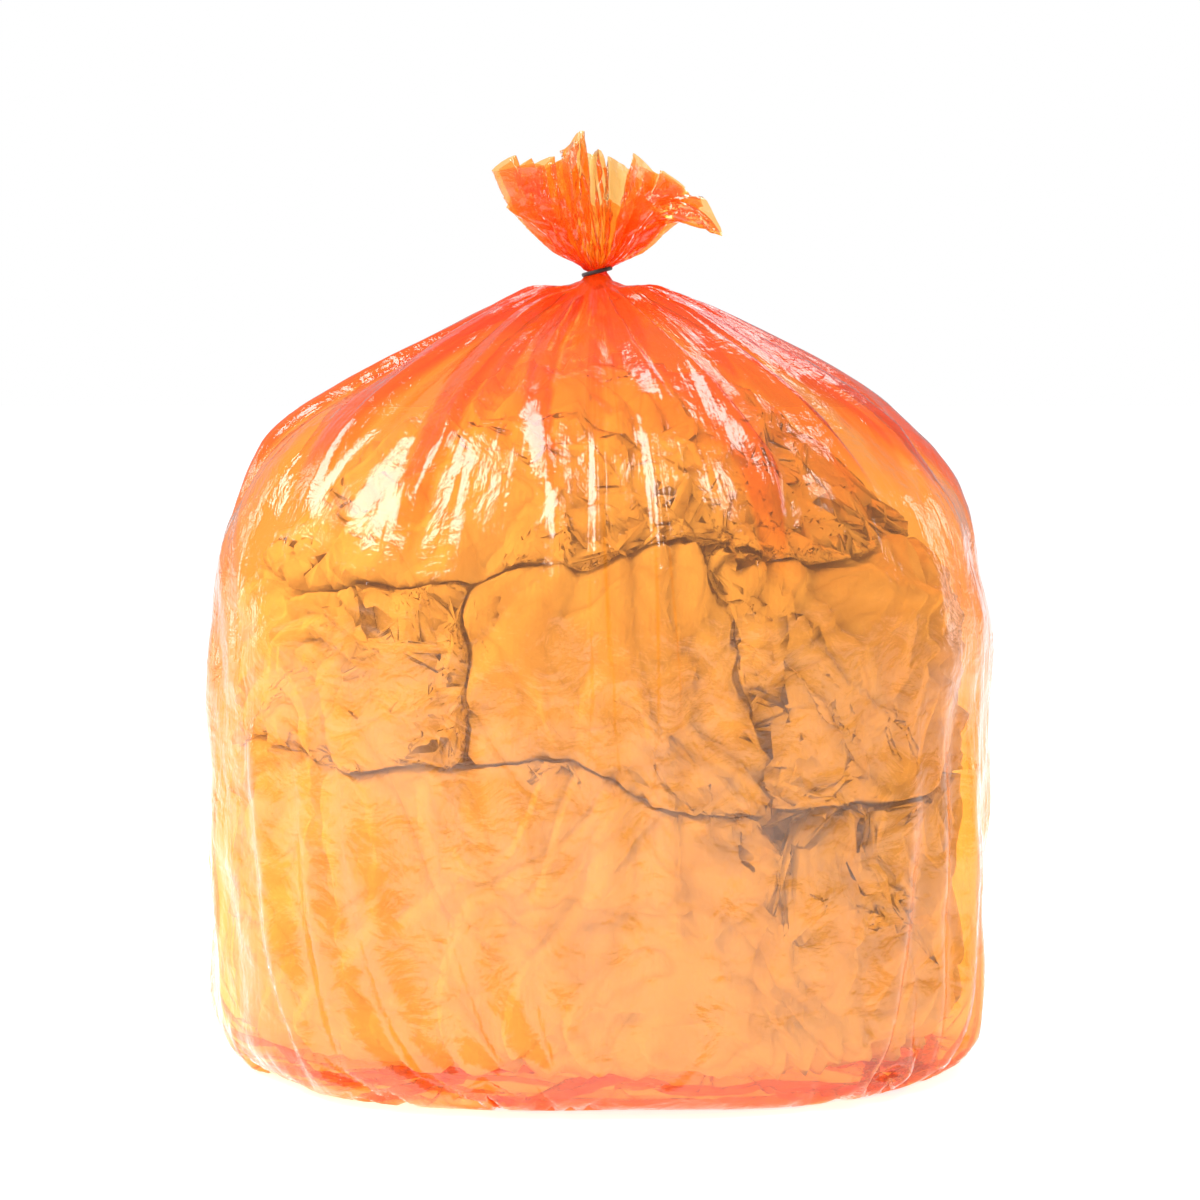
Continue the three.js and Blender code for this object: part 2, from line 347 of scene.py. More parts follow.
class TubeCloth:
    """Cloth as a grid of points, closed on itself round its columns, that is stepped until it rests."""

    def __init__(self, points: np.ndarray, lengths: Lengths, squeeze: float, bend: float) -> None:
        """Takes the cloth's start.

        Args:
            points: Three planes of rows by columns. The columns are a multiple of four.
            lengths: Its natural lengths.
            squeeze: How firmly threads resist being shortened, from 0 to 1.
            bend: How firmly the cloth resists folding, from 0 to 1.
        """
        self.points = points.astype(np.float32)
        self.speed = np.zeros_like(self.points)
        self.lengths = lengths
        self.squeeze = squeeze
        self.bend = bend
        around, along = lengths.round, lengths.along
        self.bend_round = 0.985 * (around + np.roll(around, -1, axis=1))
        self.bend_along = 0.985 * (along[:-1] + along[1:])

    @staticmethod
    def _share(gap: np.ndarray, rest: np.ndarray, firm: float, squeeze: float) -> np.ndarray:
        """Turns the gaps between pairs of points into the moves that mend their lengths.

        Args:
            gap: Three planes of gaps.
            rest: The pairs' natural lengths.
            firm: The share of a stretch that each point takes back.
            squeeze: The share of a squeeze that each point takes back.

        Returns:
            The first points' moves, in three planes.
        """
        length = np.sqrt(np.einsum("kij,kij->ij", gap, gap)) + np.float32(1e-9)
        share = 1 - rest / length
        share *= np.where(share > 0, np.float32(firm), np.float32(squeeze))
        return gap * share

    def _mend_round(self, step: int, rest: np.ndarray, firm: float, squeeze: float) -> None:
        """Mends pairs that are some columns apart.

        Args:
            step: How far apart the pairs are.
            rest: Their natural lengths.
            firm: The share of a stretch that each point takes back.
            squeeze: The share of a squeeze that each point takes back.
        """
        points, period = self.points, 2 * step
        for start in range(period):
            to = (start + step) % period
            wrap = start + step >= period
            near, far = points[:, :, start::period], points[:, :, to::period]
            if wrap:
                far = np.roll(far, -1, axis=2)
            move = self._share(far - near, rest[:, start::period], firm, squeeze)
            points[:, :, start::period] += move
            points[:, :, to::period] -= np.roll(move, 1, axis=2) if wrap else move

    def _mend_along(self, step: int, rest: np.ndarray, firm: float, squeeze: float) -> None:
        """Mends pairs that are some rows apart.

        Args:
            step: How far apart the pairs are.
            rest: Their natural lengths.
            firm: The share of a stretch that each point takes back.
            squeeze: The share of a squeeze that each point takes back.
        """
        points, period, rows = self.points, 2 * step, self.points.shape[1]
        for start in range(period):
            near, far = points[:, start : rows - step : period], points[:, start + step :: period]
            move = self._share(far - near, rest[start::period], firm, squeeze)
            near += move
            far -= move

    def _mend_slanted(self, over: int, rest: np.ndarray) -> None:
        """Mends the diagonals that go one row on.

        Args:
            over: How many columns over they go, 1 or -1.
            rest: Their natural lengths.
        """
        points, rows = self.points, self.points.shape[1]
        for start in range(2):
            near = points[:, start : rows - 1 : 2]
            far = np.roll(points[:, start + 1 :: 2], -over, axis=2)
            move = self._share(far - near, rest[start::2], 0.42, 0.42 * self.squeeze)
            points[:, start : rows - 1 : 2] += move
            points[:, start + 1 :: 2] -= np.roll(move, over, axis=2)

    def mend(self) -> None:
        """Mends every length once."""
        half = 0.5
        lengths = self.lengths
        self._mend_along(1, lengths.along, half, half * self.squeeze)
        self._mend_round(1, lengths.round, half, half * self.squeeze)
        self._mend_slanted(1, lengths.rising)
        self._mend_slanted(-1, np.roll(lengths.falling, 1, axis=1))
        if self.bend:
            self._mend_round(2, self.bend_round, 0, half * self.bend)
            self._mend_along(2, self.bend_along, 0, half * self.bend)

    def run(
        self,
        steps: int,
        drift: np.ndarray | float,
        keep: float,
        limit: Callable[[np.ndarray, np.ndarray], None],
        rounds: int = 2,
    ) -> None:
        """Steps the cloth.

        Args:
            steps: How many steps it takes.
            drift: What is added to the points at each step, such as a fall.
            keep: The share of its speed that it keeps.
            limit: A function that moves the points, in place, to where they may be.
            rounds: How often the lengths are mended in a step.
        """
        for _ in range(steps):
            before = self.points.copy()
            self.points += self.speed * np.float32(keep)
            self.points += drift
            for _ in range(rounds):
                self.mend()
            limit(self.points, before)
            self.speed = self.points - before

    @staticmethod
    def finer(plane: np.ndarray) -> np.ndarray:
        """Doubles a grid's fineness with a smooth curve through its points.

        Args:
            plane: Planes of rows by columns.

        Returns:
            Planes of twice the rows, less one, by twice the columns.
        """
        ahead, behind = np.roll(plane, -1, axis=-1), np.roll(plane, 1, axis=-1)
        between = (9 * (plane + ahead) - behind - np.roll(plane, -2, axis=-1)) / 16
        wide = np.stack([plane, between], axis=-1).reshape(*plane.shape[:-1], -1)
        padded = np.concatenate(
            [2 * wide[..., :1, :] - wide[..., 1:2, :], wide, 2 * wide[..., -1:, :] - wide[..., -2:-1, :]],
            axis=-2,
        )
        inner = (9 * (wide[..., :-1, :] + wide[..., 1:, :]) - padded[..., :-3, :] - padded[..., 3:, :]) / 16
        rows = 2 * wide.shape[-2] - 1
        tall = np.empty((*wide.shape[:-2], rows, wide.shape[-1]), dtype=plane.dtype)
        tall[..., 0::2, :] = wide
        tall[..., 1::2, :] = inner
        return tall


def film_room(sizes: SackSizes, inset: float = 0.0065, lumps: float = 0.006, seed: int = 11) -> ReachTable:
    """Makes the surface that the film lies on: the sack's outline, moved in and made a little lumpy.

    Args:
        sizes: The sack's sizes.
        inset: How far the outline is moved in.
        lumps: How deep its hollows are.
        seed: Where the random draws of the hollows start.

    Returns:
        The surface, about the sack's middle.
    """
    table = ReachTable((0, 0, sizes.middle_height))
    table.fill(lambda points: sizes.level(points, inset) < 1)
    dips = WaveField(seed, 0.34, 0.11).at(table.surface())
    table.reach -= (lumps * (0.5 + 0.5 * dips)).astype(np.float32)
    return table


def tube_mesh(name: str, points: np.ndarray, capped: bool, seam: bool) -> bpy.types.Object:
    """Makes a mesh from a tube's grid.

    Args:
        name: The object's name.
        points: Three planes of rows by columns.
        capped: Whether the first and last rows are closed to single points.
        seam: Whether the first row's two halves are one line, as at a sack's bottom seam.

    Returns:
        The new object, in the scene and shaded smooth.
    """
    _, rows, columns = points.shape
    index = np.arange(rows * columns).reshape(rows, columns)
    if seam:
        place = np.arange(columns)
        index[0] = np.minimum(place, (-place) % columns)
    across = np.roll(index, -1, axis=1)
    quads = np.stack([index[:-1], across[:-1], across[1:], index[1:]], axis=-1).reshape(-1, 4)
    vertices = points.reshape(3, -1).T.astype(float)
    faces: list = []
    if capped:
        foot, head = vertices[index[0]].mean(axis=0), vertices[index[-1]].mean(axis=0)
        vertices = np.vstack([vertices, foot, head])
        last = rows * columns
        for column in range(columns):
            following = (column + 1) % columns
            faces.append((int(index[0, following]), int(index[0, column]), last))
            faces.append((int(index[-1, column]), int(index[-1, following]), last + 1))
    if seam:
        used, compact = np.unique(quads, return_inverse=True)
        vertices = vertices[used]
        quads = compact.reshape(-1, 4)
    quad_list = [tuple(dict.fromkeys(quad)) for quad in quads.tolist()]
    mesh = bpy.data.meshes.new(name)
    mesh.from_pydata(vertices.tolist(), [], quad_list + faces)
    mesh.validate()
    mesh.update()
    mesh.shade_smooth()
    made = bpy.data.objects.new(name, mesh)
    bpy.context.scene.collection.objects.link(made)
    return made


class Quality(Enum):
    """How much of the simulation runs."""

    QUICK = 1
    FULL = 3


@dataclass(frozen=True)
class Petal:
    """One of the frill's petals: where it stands and how it bends, in degrees."""

    turn: float
    lean: float
    reach: float
    curl: float


PETALS = (
    Petal(-176, 50, 1.04, -40),
    Petal(-146, 44, 0.84, 30),
    Petal(-104, 24, 0.72, 14),
    Petal(-62, 26, 0.72, 26),
    Petal(-14, 34, 1.05, 112),
    Petal(24, 40, 0.90, -20),
    Petal(54, 30, 1.04, -10),
    Petal(100, 10, 1.20, -10),
    Petal(140, 30, 1.00, -10),
)


@dataclass(frozen=True)
class FilmFold:
    """A fold of doubled film: its way, as turns in degrees and runs down from the tie in metres."""

    way: tuple[tuple[float, float], ...]
    width: float
    height: float
    steps: int = 9

    def shape(
        self, points: np.ndarray, normal: np.ndarray, sack: "FilmSack"
    ) -> tuple[np.ndarray, np.ndarray]:
        """Works out how the fold stands on the film.

        Args:
            points: The film's points, in three planes.
            normal: The film's normals.
            sack: The sack, which knows where a turn and a run are on the grid.

        Returns:
            How far the film is lifted, in metres, and how far it is doubled, from 0 to 1.
        """
        knots = np.array(self.way)
        spread = np.linspace(0, len(knots) - 1, self.steps + 1)
        turns, runs = (np.interp(spread, np.arange(len(knots)), column) for column in knots.T)
        line = np.stack([sack.point_at(points, turn, run) for turn, run in zip(turns, runs)])
        nearest = np.full(points.shape[1:], 9.0)
        share, side = np.zeros_like(nearest), np.zeros_like(nearest)
        for step in range(self.steps):
            start, way = line[step], line[step + 1] - line[step]
            length = float(way @ way) + 1e-9
            offset = points - start[:, None, None]
            along = np.clip(np.tensordot(way, offset, axes=1) / length, 0, 1)
            away = offset - way[:, None, None] * along
            distance = np.sqrt((away**2).sum(axis=0))
            closer = distance < nearest
            across = np.cross(way, normal, axisa=0, axisb=0, axisc=0)
            nearest = np.where(closer, distance, nearest)
            share = np.where(closer, (step + along) / self.steps, share)
            side = np.where(closer, np.sign((across * away).sum(axis=0)), side)
        width = self.width * (0.35 + 0.65 * np.sin(math.pi * np.clip(share, 0.02, 0.98)) ** 0.7)
        ratio = side * nearest / width
        profile = np.clip(np.where(ratio < 0, 1 + ratio / 0.3, 1 - ratio), 0, 1)
        taper = smooth_rise(share, 0.0, 0.12) * (1 - smooth_rise(share, 0.75, 1.0))
        return self.height * taper * profile**0.85, taper * smooth_rise(profile, 0.05, 0.3)


FOLDS = (
    FilmFold(((-172, 0.01), (-172, 0.14), (-170, 0.27)), 0.040, 0.008),
    FilmFold(((-150, 0.01), (-148, 0.12), (-146, 0.25)), 0.034, 0.009),
    FilmFold(((-133, 0.01), (-130, 0.10), (-126, 0.19), (-128, 0.27)), 0.022, 0.007),
    FilmFold(((-112, 0.02), (-109, 0.12), (-103, 0.22)), 0.016, 0.005),
    FilmFold(((-86, 0.01), (-80, 0.08), (-72, 0.16)), 0.014, 0.006),
    FilmFold(((-70, 0.01), (-64, 0.12), (-58, 0.20), (-60, 0.28)), 0.024, 0.008),
    FilmFold(((-46, 0.01), (-44, 0.12), (-40, 0.24)), 0.026, 0.008),
    FilmFold(((-28, 0.01), (-24, 0.12), (-20, 0.26)), 0.034, 0.009),
    FilmFold(((-6, 0.01), (-4, 0.14), (-8, 0.28)), 0.038, 0.008),
    FilmFold(((20, 0.01), (24, 0.13), (22, 0.26)), 0.030, 0.008),
    FilmFold(((48, 0.01), (50, 0.11), (56, 0.24)), 0.024, 0.008),
    FilmFold(((72, 0.01), (76, 0.10), (75, 0.22)), 0.020, 0.007),
    FilmFold(((98, 0.01), (96, 0.12), (99, 0.27)), 0.028, 0.008),
    FilmFold(((124, 0.01), (126, 0.11), (122, 0.23)), 0.022, 0.007),
    FilmFold(((150, 0.01), (152, 0.12), (156, 0.26)), 0.030, 0.009),
)


@dataclass
class FilmSack:
    """The film: a tube with a flat bottom seam, drawn over the stuffing and gathered under the tie."""

    sizes: SackSizes
    room: ReachTable
    quality: Quality
    petals: tuple[Petal, ...] = PETALS
    folds: tuple[FilmFold, ...] = FOLDS
    rows: int = 61
    tie_row: int = 54
    columns: int = 96
    layer: float = 0.010
    slack: float = 1.2
    grip: float = 0.45
    pleats: int = 29
    twist: float = math.radians(16)
    bulb_angle: float = 0.98
    flatness: float = 0.88
    gather_lift: float = 0.0052
    facet_lift: float = 0.0018
    side_facet_lift: float = 0.0034
    broad_lift: float = 0.0028
    seed: int = 11

    def _meridians(self, turns: np.ndarray) -> tuple[np.ndarray, np.ndarray]:
        """Follows the room's surface down from the neck along each turn.

        Args:
            turns: Turns about the upright axis.

        Returns:
            Points of each line as three planes of steps by turns, and the run to each point.
        """
        rises = np.linspace(math.pi / 2 - 0.02, -math.pi / 2 + 0.3, 400)[:, None]
        flat = np.cos(rises)
        offset = np.stack([flat * np.cos(turns), flat * np.sin(turns), np.sin(rises) + 0 * turns])
        reach = self.room.look_up(offset, np.ones(offset.shape[1:]))
        lines = self.room.middle[:, None, None] + offset * reach
        run = np.sqrt((np.diff(lines, axis=1) ** 2).sum(axis=0))
        return lines, np.concatenate([np.zeros((1, len(turns))), np.cumsum(run, axis=0)])

    def _start(self) -> np.ndarray:
        """Lays the film over the stuffing, its bottom corners tucked under the base.

        Returns:
            Three planes of rows by columns.
        """
        sizes, columns = self.sizes, self.columns
        turns = sizes.wall_turns(columns)
        step = sizes.tube_length / (self.rows - 1)
        lines, run = self._meridians(turns)
        points = np.zeros((3, self.rows, columns))
        flat_place = np.abs(((np.arange(columns) / columns + 0.25) % 1) * 2 - 1) * 2 - 1
        seam_x = flat_place * sizes.tube_round / 4
        half = sizes.width / 2 - 0.02
        seam_x = np.where(np.abs(seam_x) > half, np.sign(seam_x) * (2 * half - np.abs(seam_x)), seam_x)
        for column in range(columns):
            floor = int(np.argmax(lines[2, :, column] < 0.012))
            wall_run = run[floor, column]
            spare = self.tie_row * step - wall_run
            for row in range(self.tie_row + 1):
                below = (self.tie_row - row) * step
                if below <= wall_run:
                    for axis in range(3):
                        points[axis, row, column] = np.interp(below, run[:, column], lines[axis, :, column])
                    continue
                share = (below - wall_run) / spare
                edge = lines[:, floor, column]
                points[0, row, column] = edge[0] + share * (seam_x[column] - edge[0])
                points[1, row, column] = edge[1] * (1 - share)
                points[2, row, column] = 0.0015
        around = np.sqrt(((np.roll(points, -1, axis=2) - points) ** 2).sum(axis=0)).sum(axis=1)
        self.shares = np.clip(self.slack * around / sizes.tube_round, 0.03, 1)
        self.shares[: self.tie_row // 3] = 1
        points[:, self.tie_row :] = self._frill(0)
        return points

    def _petal_values(self, turns: np.ndarray) -> tuple[np.ndarray, np.ndarray, np.ndarray]:
        """Blends the petals round the frill, with a valley between each two.

        Args:
            turns: The columns' turns.

        Returns:
            The lean, the reach and the curl of each column.
        """
        places, leans, reaches, curls = [], [], [], []
        for petal, after in zip(self.petals, self.petals[1:] + self.petals[:1]):
            gap = (after.turn - petal.turn) % 360
            places += [petal.turn, petal.turn + gap * 0.54]
            leans += [petal.lean + 4, 0.3 * (petal.lean + after.lean) / 2]
            reaches += [petal.reach, (petal.reach + after.reach) / 2 - 0.19]
            curls += [petal.curl, 0.3 * (petal.curl + after.curl)]
        degrees = np.degrees(turns)
        smooth = np.array([-5.0, -2.5, 0.0, 2.5, 5.0])
        rounded = [
            np.mean([np.interp(degrees + shift, places, values, period=360) for shift in smooth], axis=0)
            for values in (leans, curls)
        ]
        reach = np.interp(degrees, places, reaches, period=360)
        return np.radians(rounded[0]), reach, np.radians(rounded[1])

    def _frill(self, level: int) -> np.ndarray:
        """Stands the spare film up above the tie in folded petals that lean out and curl.

        Args:
            level: How many times the grid has been doubled.

        Returns:
            Three planes, from the tie's row to the rim.
        """
        scale = 2**level
        columns, rows = self.columns * scale, (self.rows - 1 - self.tie_row) * scale + 1
        step = self.sizes.tube_length / ((self.rows - 1) * scale)
        turns = self.sizes.wall_turns(columns)
        lean, reach, curl = self._petal_values(turns)
        rng = np.random.default_rng(self.seed + 1)
        phase, uneven = self.pleats * turns, np.zeros(columns)
        for wave in range(1, 7):
            phase = phase + rng.normal() * 1.1 / wave * np.sin(wave * turns + rng.random() * FULL_TURN)
            uneven += rng.normal() * 0.4 * np.sin(wave * turns + rng.random() * FULL_TURN)
        swing = np.radians(np.clip(12 + 5 * uneven, 5, 21))
        turns = turns + self.twist * 0.25
        radius = 0.0050 + 0.0016 * np.sin(phase)
        height = np.zeros(columns)
        made = []
        for row in range(rows):
            above = row * step
            across, deep = radius * np.cos(turns), self.flatness * radius * np.sin(turns)
            made.append([across, deep, self.sizes.tie_height + height])
            calm = 1 - 0.6 * smooth_rise(above, 0.03, 0.09)
            upright = 1 - 0.85 * smooth_rise(above, 0.022, 0.046)
            bulb = self.bulb_angle * smooth_rise(above, -0.02, 0.006) * upright
            fold = swing * calm * smooth_rise(above, -0.004, 0.03) * np.sin(phase + 9 * above)
            angle = bulb + 0.85 * lean * smooth_rise(above, 0.026, 0.056) + fold
            angle = angle + curl * smooth_rise(above, 0.042, 0.09)
            angle = np.clip(angle, math.radians(1), math.radians(158))
            radius = radius + step * reach * np.sin(angle)
            height = height + step * reach * 0.97 * np.cos(angle)
            turns = turns + step * 1.1 * np.cos(phase / 2 + 0.7) * smooth_rise(above, 0.02, 0.09)
        return np.stack([np.stack(ring) for ring in made], axis=1)

    def _lengths(self, level: int, frill: np.ndarray) -> Lengths:
        """The film's natural lengths, which are gathered near the tie.

        Args:
            level: How many times the grid has been doubled.
            frill: The frill's shape at this level, which its lengths are read from.

        Returns:
            The lengths.
        """
        scale = 2**level
        rows, columns = (self.rows - 1) * scale + 1, self.columns * scale
        step = self.sizes.tube_length / (rows - 1)
        gather = self.gather_at((np.arange(rows) / scale - self.tie_row) * step * scale)
        around = np.repeat((gather * self.sizes.tube_round / columns)[:, None], columns, axis=1)
        along = np.full((rows - 1, columns), step)
        tie = self.tie_row * scale
        gaps = np.sqrt(((np.roll(frill, -1, axis=2) - frill) ** 2).sum(axis=0))
        around[tie:] = 1.03 * gaps
        along[tie:] = 1.02 * np.sqrt((np.diff(frill, axis=1) ** 2).sum(axis=0))
        return Lengths.from_grid(around, along)

    def gather_at(self, above: np.ndarray) -> np.ndarray:
        """The share of its natural width that the film has where it is gathered.

        Args:
            above: Distances along the film above the tie, negative below it.

        Returns:
            From about 0.03 at the tie to 1 well away from it.
        """
        places = (np.arange(self.rows) - self.tie_row) * self.sizes.tube_length / (self.rows - 1)
        below_share = np.interp(above, places[: self.tie_row + 1], self.shares[: self.tie_row + 1])
        return np.where(above <= 0, below_share, np.clip(0.05 + above / 0.06, 0, 1))

    def _limit(self, points: np.ndarray, before: np.ndarray, level: int, frill: np.ndarray) -> None:
        """Keeps the film on the stuffing, above the floor, in the tie and near the frill's shape.

        Args:
            points: The film's points, changed in place.
            before: Where they were a step ago.
            level: How many times the grid has been doubled.
            frill: The frill's shape at this level.
        """
        tie = self.tie_row * 2**level
        body = points[:, :tie]
        height = body[2]
        room = self.layer + 0.006 * smooth_rise(height, 0.25, 0.4) - 0.011 * smooth_rise(height, 0.46, 0.52)
        touched = self.room.hold(body, 0.0, room.astype(np.float32))
        under = body[2] < 0.004
        held = np.where(under, 0.7, self.grip * touched).astype(np.float32)
        body += (before[:, :tie] - body) * held
        np.maximum(body[2], 0.0004, out=body[2])
        points[:, tie + 1 :] += 0.06 * (frill[:, 1:] - points[:, tie + 1 :])
        points[:, tie] = frill[:, 0]
        mirrored = (-np.arange(points.shape[2])) % points.shape[2]
        points[:, 0] = (points[:, 0] + points[:, 0][:, mirrored]) / 2

    def flat_place(self, level: int) -> np.ndarray:
        """Where each point of the film was on the tube, before it was gathered and filled.

        Args:
            level: How many times the grid has been doubled.

        Returns:
            Three planes: two round the tube, as on a round drum, and one along it from the tie.
        """
        rows, columns = (self.rows - 1) * 2**level + 1, self.columns * 2**level
        above = (np.arange(rows) / 2**level - self.tie_row) * self.sizes.tube_length / (self.rows - 1)
        turn = np.arange(columns) / columns * FULL_TURN
        reach = self.sizes.tube_round / FULL_TURN
        return np.stack(np.broadcast_arrays(
            reach * np.cos(turn)[None, :], reach * np.sin(turn)[None, :], above[:, None]
        ))

    def point_at(self, points: np.ndarray, turn: float, run: float) -> np.ndarray:
        """Finds a point of the film.

        Args:
            points: Three planes of rows by columns.
            turn: Its turn about the upright axis, in degrees.
            run: How far it lies down from the tie along the film.

        Returns:
            The point.
        """
        scale = 2**self.level
        turns = np.degrees(self.sizes.wall_turns(self.columns * scale))
        column = int(np.argmin(np.abs((turns - turn + 180) % 360 - 180)))
        row = round((self.tie_row - run * (self.rows - 1) / self.sizes.tube_length) * scale)
        return points[:, row, column]

    def _crumple(self, points: np.ndarray, level: int) -> np.ndarray:
        """Adds the film's crisp creases: gathers that fan out from the tie, and facets all over.

        Args:
            points: The settled film.
            level: How many times the grid has been doubled.

        Returns:
            The creased film.
        """
        place = self.flat_place(level)
        above = place[2]
        normal = grid_normals(points)
        bent = place + 0.014 * WaveField(self.seed + 5, 0.3, 0.08).at(place)
        fanned = bent * np.array([1.0, 1.0, 0.16])[:, None, None]
        gathers = WaveField(self.seed + 6, 0.11, 0.03, 12, creased=True).at(fanned)
        facets = WaveField(self.seed + 7, 0.10, 0.024, 12, creased=True).at(bent)
        broad = WaveField(self.seed + 8, 0.26, 0.12, 8, creased=True).at(bent)
        side = smooth_rise(np.abs(points[0]), 0.16, 0.24)
        off_floor = smooth_rise(points[2], 0.004, 0.04)
        body_share = smooth_rise(-above, 0.02, 0.08) * off_floor
        fading = 1 - 0.8 * smooth_rise(-above, 0.18, 0.42)
        fan = self.gather_lift * smooth_rise(-above, 0.005, 0.06) * fading * off_floor
        facet = (self.facet_lift + self.side_facet_lift * side) * body_share
        facet = facet + 0.0012 * smooth_rise(above, 0.01, 0.03)
        lift = fan * (gathers + 0.3) + facet * (facets + 0.4) + self.broad_lift * body_share * (broad + 0.3)
        lift = np.maximum(lift, -0.0015 - 0.003 * smooth_rise(above, 0, 0.01))
        self.doubled = np.zeros_like(above)
        for fold in self.folds:
            raised, doubled = fold.shape(points, normal, self)
            lift = lift + raised
            self.doubled = np.maximum(self.doubled, doubled)
        return points + normal * lift

    def simulate(self) -> np.ndarray:
        """Lets the film settle, from a coarse grid to a fine one.

        Returns:
            Three planes of rows by columns.
        """
        self.level = self.quality.value - 1
        points = self._start()
        rng = np.random.default_rng(self.seed + 2)
        points += rng.normal(scale=0.0012, size=points.shape)
        plans = [(260, 0.00022, 0.95, 0.05), (180, 0.00008, 0.93, 0.05), (120, 0.00003, 0.9, 0.06)]
        for level, (steps, fall, keep, bend) in enumerate(plans[: self.quality.value]):
            if level:
                points = TubeCloth.finer(points)
            frill = self._frill(level)
            cloth = TubeCloth(points, self._lengths(level, frill), squeeze=0.8, bend=bend)
            drift = np.zeros((3, points.shape[1], 1), dtype=np.float32)
            drift[2, : self.tie_row * 2**level] = -fall
            frill = frill.astype(np.float32)
            cloth.run(steps, drift, keep, lambda now, before: self._limit(now, before, level, frill))
            points = cloth.points
        return self._crumple(points.astype(float), self.level)

    def build(self) -> bpy.types.Object:
        """Makes the film's object.

        Returns:
            The film, riding on the sack's body.
        """
        points = self.simulate()
        made = tube_mesh("liner_film", points, capped=False, seam=True)
        _, rows, columns = points.shape
        place = self.flat_place(self.level)
        layers = 1 / self.gather_at(place[2, :, 0])
        index = np.arange(rows * columns).reshape(rows, columns)
        index[0] = np.minimum(np.arange(columns), (-np.arange(columns)) % columns)
        kept = np.unique(index)
        flat = place.reshape(3, -1).T[kept]
        attribute = made.data.attributes.new("film_place", "FLOAT_VECTOR", "POINT")
        attribute.data.foreach_set("vector", flat.ravel())
        attribute = made.data.attributes.new("film_layers", "FLOAT", "POINT")
        attribute.data.foreach_set("value", np.repeat(layers, columns)[kept])
        attribute = made.data.attributes.new("film_doubled", "FLOAT", "POINT")
        attribute.data.foreach_set("value", self.doubled.ravel()[kept])
        FilmFinish().dress(made)
        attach(made, "root")
        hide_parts("bag_film")
        return made


@dataclass(frozen=True)
class Ripple:
    """One wave of a parting: its height and length in metres, its heading in degrees, and its phase."""

    height: float
    length: float
    heading: float
    phase: float


@dataclass(frozen=True)
class Parting:
    """A wavy face along which two wads of cloth press together."""

    axis: int
    at: float
    tilt: float
    ripples: tuple[Ripple, ...]
    seed: int
    wave: float = 0.008
    band_middle: float = 0.2795

    def past(self, points: np.ndarray) -> np.ndarray:
        """How far points lie past the face, upward or to the right.

        Args:
            points: Three planes of coordinates.

        Returns:
            Distances, in metres.
        """
        slope = math.tan(math.radians(self.tilt))
        if self.axis == 2:
            run, flat = points[0], points[2] - self.at + slope * points[0]
        else:
            run = points[2] - self.band_middle
            flat = points[0] - self.at - slope * run
        dip = self.wave * WaveField(self.seed, 0.12, 0.05, 14).at(points)
        for ripple in self.ripples:
            heading = math.radians(ripple.heading)
            way = run * math.cos(heading) + points[1] * math.sin(heading)
            dip = dip + ripple.height * np.sin(FULL_TURN * way / ripple.length + ripple.phase)
        return flat + dip


LOWER = Parting(2, 0.207, 5, (Ripple(0.011, 0.36, 20, 0.6), Ripple(0.007, 0.19, -35, 2.1)), 71)
UPPER = Parting(2, 0.352, -4, (Ripple(0.012, 0.4, -15, 3.6), Ripple(0.006, 0.17, 40, 0.9)), 72)
LEFT = Parting(0, -0.092, 9, (Ripple(0.010, 0.3, 25, 1.2), Ripple(0.006, 0.14, -30, 4.0)), 73)
RIGHT = Parting(0, 0.098, -8, (Ripple(0.010, 0.27, -20, 5.2), Ripple(0.006, 0.15, 35, 2.7)), 74)


